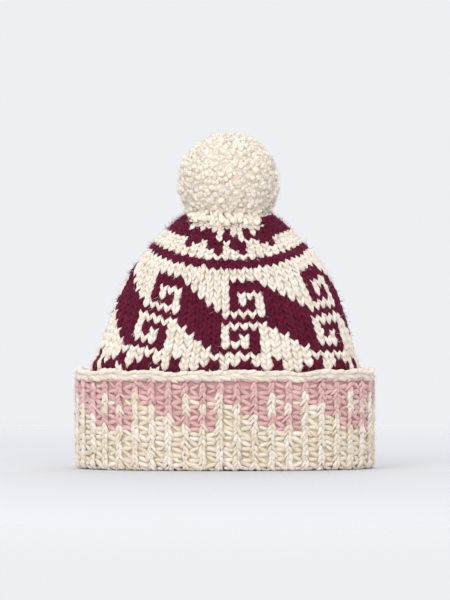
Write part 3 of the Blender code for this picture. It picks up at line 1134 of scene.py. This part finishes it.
class HAT_OT_stage(bpy.types.Operator):
    """Set the camera, the soft light and the pale floor"""
    bl_idname = "hat.stage"
    bl_label = "Stage"
    # name, place, width and height of the light, power
    LIGHTS = [
        ("front_softbox", (0.0, -2.4, 0.9), 2.4, 1.8, 30.0),
        ("key_softbox", (-1.0, -1.5, 1.6), 1.2, 1.2, 11.0),
        ("top_softbox", (0.0, 0.3, 1.9), 1.8, 1.8, 8.0),
        ("back_softbox", (0.3, 2.2, 1.1), 2.0, 1.6, 16.0),
    ]
    AIM = Vector((0.0, 0.0, 0.12))
    SENSOR = 36.0

    def execute(self, context):
        scene, studio = context.scene, context.scene.hat_studio
        scene.view_settings.view_transform = "Standard"
        self.camera(scene, studio)
        for name, place, width, height, power in self.LIGHTS:
            lamp = bpy.data.lights.new(name, "AREA")
            lamp.shape, lamp.size, lamp.size_y, lamp.energy = "RECTANGLE", width, height, power
            item = bpy.data.objects.new(name, lamp)
            item.location = place
            item.rotation_euler = (self.AIM - Vector(place)).to_track_quat("-Z", "Y").to_euler()
            scene.collection.objects.link(item)
        world = bpy.data.worlds.new("pale_studio")
        world.use_nodes = True
        world.node_tree.nodes["Background"].inputs[0].default_value = (*studio.backdrop, 1)
        scene.world = world
        self.floor(scene, studio)
        return {"FINISHED"}

    def camera(self, scene, studio):
        data = bpy.data.cameras.new("photo_camera")
        data.sensor_width = self.SENSOR
        data.lens = self.SENSOR * studio.camera_distance / studio.frame_height
        data.clip_end = 100
        item = bpy.data.objects.new("photo_camera", data)
        tilt = studio.camera_tilt
        back = Vector((0, -cos(tilt), sin(tilt)))
        item.location = Vector((0, 0, studio.look_height)) + back * studio.camera_distance
        item.rotation_euler = (-back).to_track_quat("-Z", "Y").to_euler()
        scene.collection.objects.link(item)
        scene.camera = item

    def floor(self, scene, studio):
        """A pale disc that melts into the surroundings at its rim."""
        bm = bmesh.new()
        bmesh.ops.create_circle(bm, cap_ends=True, segments=96, radius=studio.floor_reach)
        mesh = bpy.data.meshes.new("pale_floor")
        bm.to_mesh(mesh)
        bm.free()
        material = bpy.data.materials.new("matt_pale_paper")
        material.use_nodes = True
        tree = material.node_tree
        tree.nodes.clear()
        place = add_node(tree, "ShaderNodeTexCoord")
        reach = add_node(tree, "ShaderNodeVectorMath", {"operation": "LENGTH"},
                         _0=place.outputs["Object"])
        fade = add_node(tree, "ShaderNodeMapRange", {"interpolation_type": "SMOOTHSTEP"},
                        Value=reach.outputs["Value"], From_Min=0.25 * studio.floor_reach,
                        From_Max=0.95 * studio.floor_reach)
        paper = add_node(tree, "ShaderNodeBsdfPrincipled",
                         Base_Color=(*studio.paper, 1), Roughness=0.9,
                         Specular_IOR_Level=0.1)
        clear = add_node(tree, "ShaderNodeBsdfTransparent")
        both = add_node(tree, "ShaderNodeMixShader", _0=fade.outputs[0], _1=paper.outputs[0],
                        _2=clear.outputs[0])
        out = add_node(tree, "ShaderNodeOutputMaterial")
        tree.links.new(both.outputs[0], out.inputs["Surface"])
        mesh.materials.append(material)
        item = bpy.data.objects.new("pale_floor", mesh)
        scene.collection.objects.link(item)


class HAT_PT_panel(bpy.types.Panel):
    """The hat's colours, sizes and steps"""
    bl_idname = "HAT_PT_panel"
    bl_label = "Knitted hat"
    bl_space_type = "VIEW_3D"
    bl_region_type = "UI"
    bl_category = "Hat"

    def draw(self, context):
        layout = self.layout
        for operator in OPERATORS:
            layout.operator(operator.bl_idname)
        for group in (context.scene.hat_yarns, context.scene.hat_knit, context.scene.hat_studio):
            box = layout.box()
            for name in group.__annotations__:
                box.prop(group, name)


OPERATORS = (HAT_OT_crown, HAT_OT_crown_inside, HAT_OT_cuff, HAT_OT_edge, HAT_OT_pompom,
             HAT_OT_stage)
CLASSES = (HatYarns, HatKnit, HatStudio) + OPERATORS + (HAT_PT_panel,)


def register():
    for item in CLASSES:
        bpy.utils.register_class(item)
    bpy.types.Scene.hat_yarns = bpy.props.PointerProperty(type=HatYarns)
    bpy.types.Scene.hat_knit = bpy.props.PointerProperty(type=HatKnit)
    bpy.types.Scene.hat_studio = bpy.props.PointerProperty(type=HatStudio)


def unregister():
    del bpy.types.Scene.hat_studio
    del bpy.types.Scene.hat_knit
    del bpy.types.Scene.hat_yarns
    for item in reversed(CLASSES):
        bpy.utils.unregister_class(item)


def main():
    register()
    bpy.ops.hat.stage()
    bpy.ops.hat.crown()
    bpy.ops.hat.crown_inside()
    bpy.ops.hat.cuff()
    bpy.ops.hat.edge()
    bpy.ops.hat.pompom()


if __name__ == "__main__":
    main()
